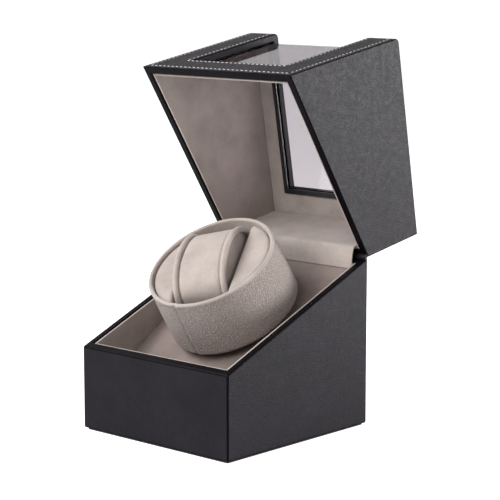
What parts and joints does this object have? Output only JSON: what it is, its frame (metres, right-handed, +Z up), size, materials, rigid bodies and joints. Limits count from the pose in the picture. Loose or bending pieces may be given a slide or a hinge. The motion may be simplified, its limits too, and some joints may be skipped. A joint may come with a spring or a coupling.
{
  "type": "watch winder box",
  "caption": "Leather-covered box with a wedge base, a windowed hinged lid and a tilted motor-driven cup that turns a watch cushion.",
  "frame": {"origin": "middle of the underside of the base, on the surface it stands on", "axes": "+X to the right seen from the front, -Y towards the front, +Z up"},
  "size_m": [0.125, 0.1814, 0.2457],
  "materials": {
    "leather_black": "fine-grained imitation leather, semi-matt",
    "suede_taupe": "short-napped greige suede cloth",
    "suede_cup": "pebbled greige suede cloth",
    "felt_black": "black felt",
    "acrylic_clear": "clear acrylic, faint lavender-grey tint",
    "rubber_black": "matt black sealing strip",
    "steel": "nickel-plated steel",
    "nylon_white": "natural nylon",
    "plastic_black": "moulded black plastic",
    "circuit_board": "green solder mask",
    "brass": "turned brass"
  },
  "bodies": {
    "base": {"base_underlay": "felt_black", "base_bottom_panel": "plastic_black", "base_front_panel": "leather_black", "base_left_panel": "leather_black", "base_right_panel": "leather_black", "base_back_panel": "leather_black", "base_front_lining": "suede_taupe", "base_left_lining": "suede_taupe", "base_right_lining": "suede_taupe", "base_back_lining": "suede_taupe", "deck": "suede_taupe", "spindle_bushing": "brass", "drive_chassis": "plastic_black", "idler_pin": "steel", "motor_can": "steel", "motor_end_cap": "plastic_black", "control_board": "circuit_board", "board_chip": "plastic_black", "board_capacitor": "steel", "board_plug": "nylon_white", "dc_jack": "plastic_black", "dc_jack_pin": "brass", "chassis_screw_1": "steel", "chassis_screw_2": "steel", "chassis_screw_3": "steel", "chassis_screw_4": "steel", "power_switch_body": "plastic_black", "mode_selector_body": "plastic_black", "hinge_left_base_leaf": "steel", "hinge_right_base_leaf": "steel", "hinge_left_pin": "steel", "hinge_right_pin": "steel", "hinge_cover": "suede_taupe"},
    "lid": {"lid_left_panel": "leather_black", "lid_right_panel": "leather_black", "lid_front_panel": "leather_black", "lid_top_panel": "leather_black", "lid_back_panel": "leather_black", "lid_window": "acrylic_clear", "lid_window_gasket": "rubber_black", "lid_left_lining": "suede_taupe", "lid_right_lining": "suede_taupe", "lid_front_lining": "suede_taupe", "lid_top_lining": "suede_taupe", "lid_back_lining": "suede_taupe", "hinge_left_lid_leaf": "steel", "hinge_right_lid_leaf": "steel"},
    "cup": {"spindle": "steel", "spindle_gear": "nylon_white", "turntable": "plastic_black", "cup_shell": "suede_cup", "cup_screw": "steel", "cup_left_cheek": "suede_taupe", "cup_right_cheek": "suede_taupe"},
    "cushion": {"cushion": "suede_taupe"},
    "idler": {"idler_gear": "nylon_white"},
    "rotor": {"motor_pinion": "brass"},
    "rocker": {"power_rocker": "plastic_black"},
    "knob": {"mode_knob": "plastic_black", "mode_knob_shaft": "steel"}
  },
  "joints": [
    {"name": "lid_hinge", "type": "hinge", "parent": "base", "child": "lid", "pos_m": [0, 0.0655, 0.1082], "axis": [1, 0, 0], "range_deg": [0, 80], "deforming": ["hinge_cover"]},
    {"name": "cup_spin", "type": "hinge", "parent": "base", "child": "cup", "pos_m": [0, 0.0119, 0.0706], "axis": [0, -0.5519, 0.8339], "continuous": true},
    {"name": "cushion_slide", "type": "slide", "parent": "cup", "child": "cushion", "axis": [0, -0.5519, 0.8339], "range_m": [0, 0.02]},
    {"name": "idler_spin", "type": "hinge", "parent": "base", "child": "idler", "pos_m": [0.02927, 0.02078, 0.07648], "axis": [0, -0.5519, 0.8339], "continuous": true},
    {"name": "rotor_spin", "type": "hinge", "parent": "base", "child": "rotor", "pos_m": [0.03347, 0.00095, 0.06335], "axis": [0, -0.5519, 0.8339], "continuous": true},
    {"name": "power_rocker", "type": "hinge", "parent": "base", "child": "rocker", "pos_m": [-0.02, 0.0644, 0.023], "axis": [1, 0, 0], "range_deg": [0, 16]},
    {"name": "mode_knob", "type": "hinge", "parent": "base", "child": "knob", "pos_m": [0.004, 0.066, 0.023], "axis": [0, -1, 0], "range_deg": [0, 180]}
  ],
  "couplings": [
    {"joint": "idler_spin", "follows": "cup_spin", "ratio": -3.4286},
    {"joint": "rotor_spin", "follows": "cup_spin", "ratio": 10.286}
  ]
}
